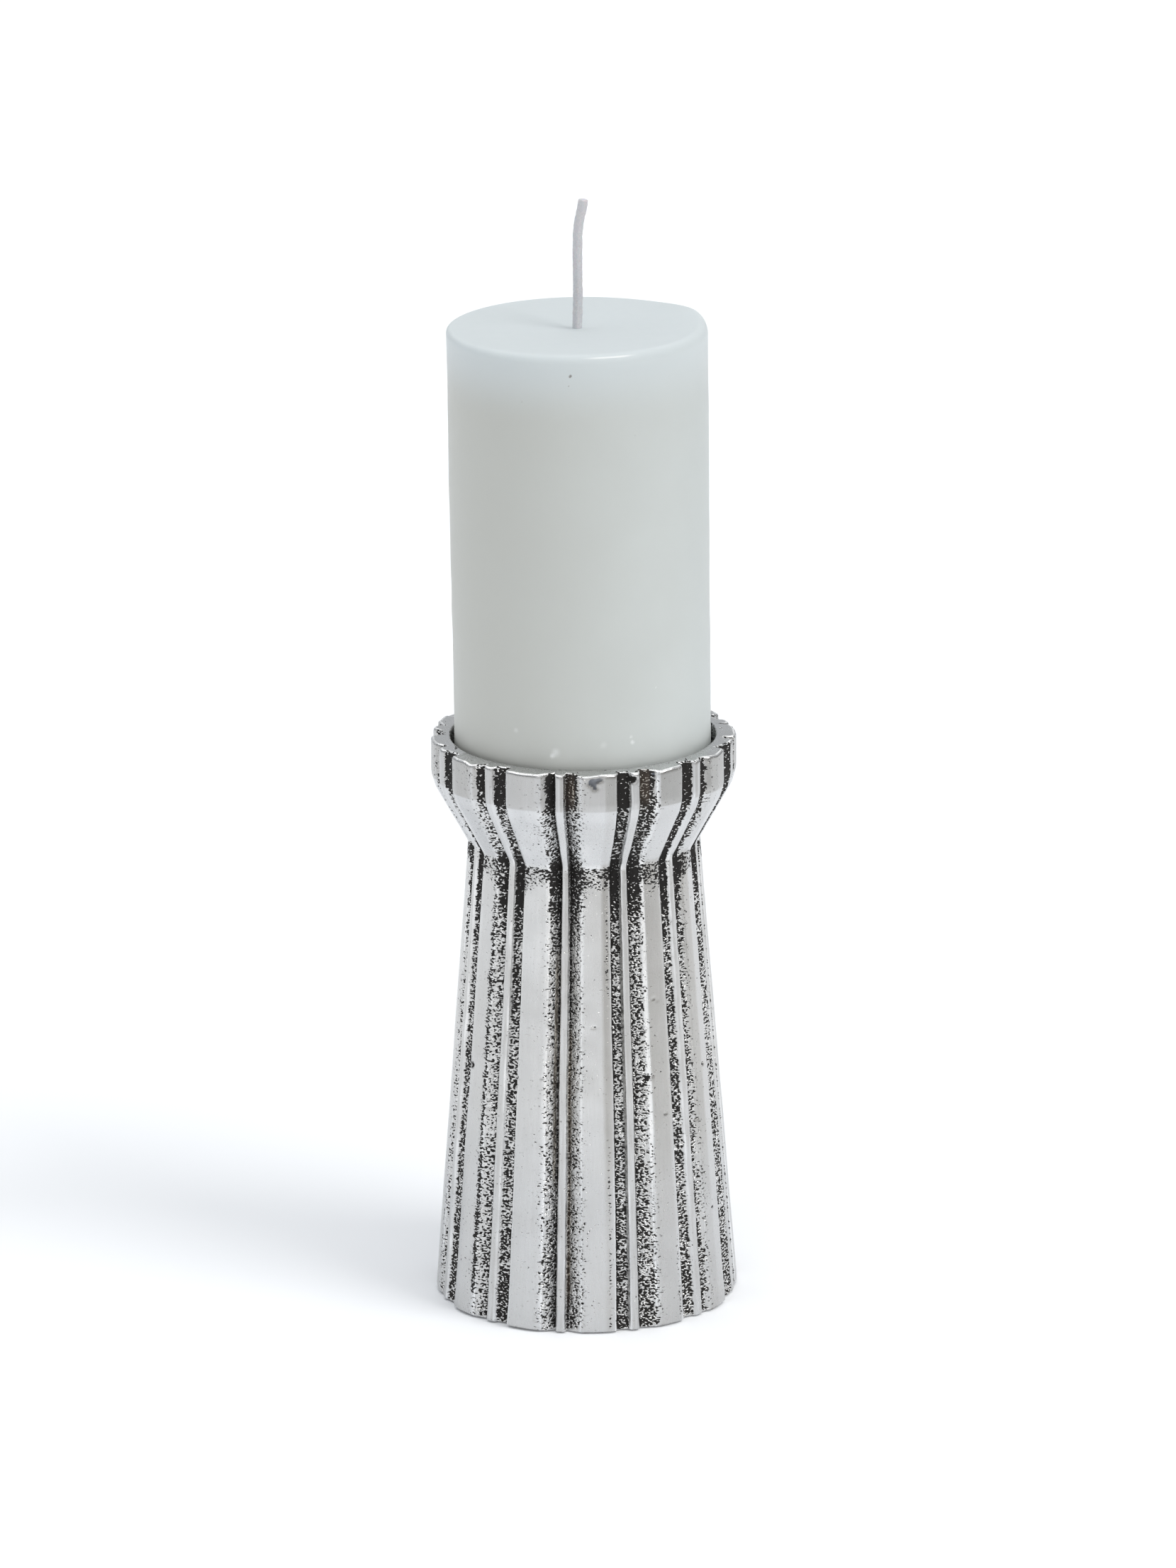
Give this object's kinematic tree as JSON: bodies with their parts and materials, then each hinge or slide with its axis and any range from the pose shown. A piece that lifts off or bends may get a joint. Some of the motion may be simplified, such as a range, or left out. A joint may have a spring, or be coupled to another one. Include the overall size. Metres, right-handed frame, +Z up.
{
  "type": "pillar candle holder with candle",
  "caption": "Fluted cast-aluminium pillar-candle holder with a flared cup, and the plain white pillar candle that stands in it and lifts out.",
  "frame": {"origin": "middle of the underside, on the surface that the holder stands on", "axes": "+Z up through the cup and the candle, -Y towards the front, +X to the viewer's right"},
  "size_m": [0.0828, 0.0827, 0.3066],
  "materials": {
    "cast_aluminium": "polished high faces, dark antiqued grooves",
    "felt": "pressed felt",
    "wax": "satin paraffin wax",
    "cotton": "waxed braided cotton",
    "tinned_steel": "bright tinned"
  },
  "bodies": {
    "holder": {"holder_casting": "cast_aluminium", "foot_felt": "felt"},
    "candle": {"candle_wax": "wax", "wick": "cotton", "wick_sustainer": "tinned_steel"}
  },
  "joints": [
    {"name": "candle_lift", "type": "slide", "parent": "holder", "child": "candle", "axis": [0, 0, 1], "range_m": [0, 0.03]}
  ]
}
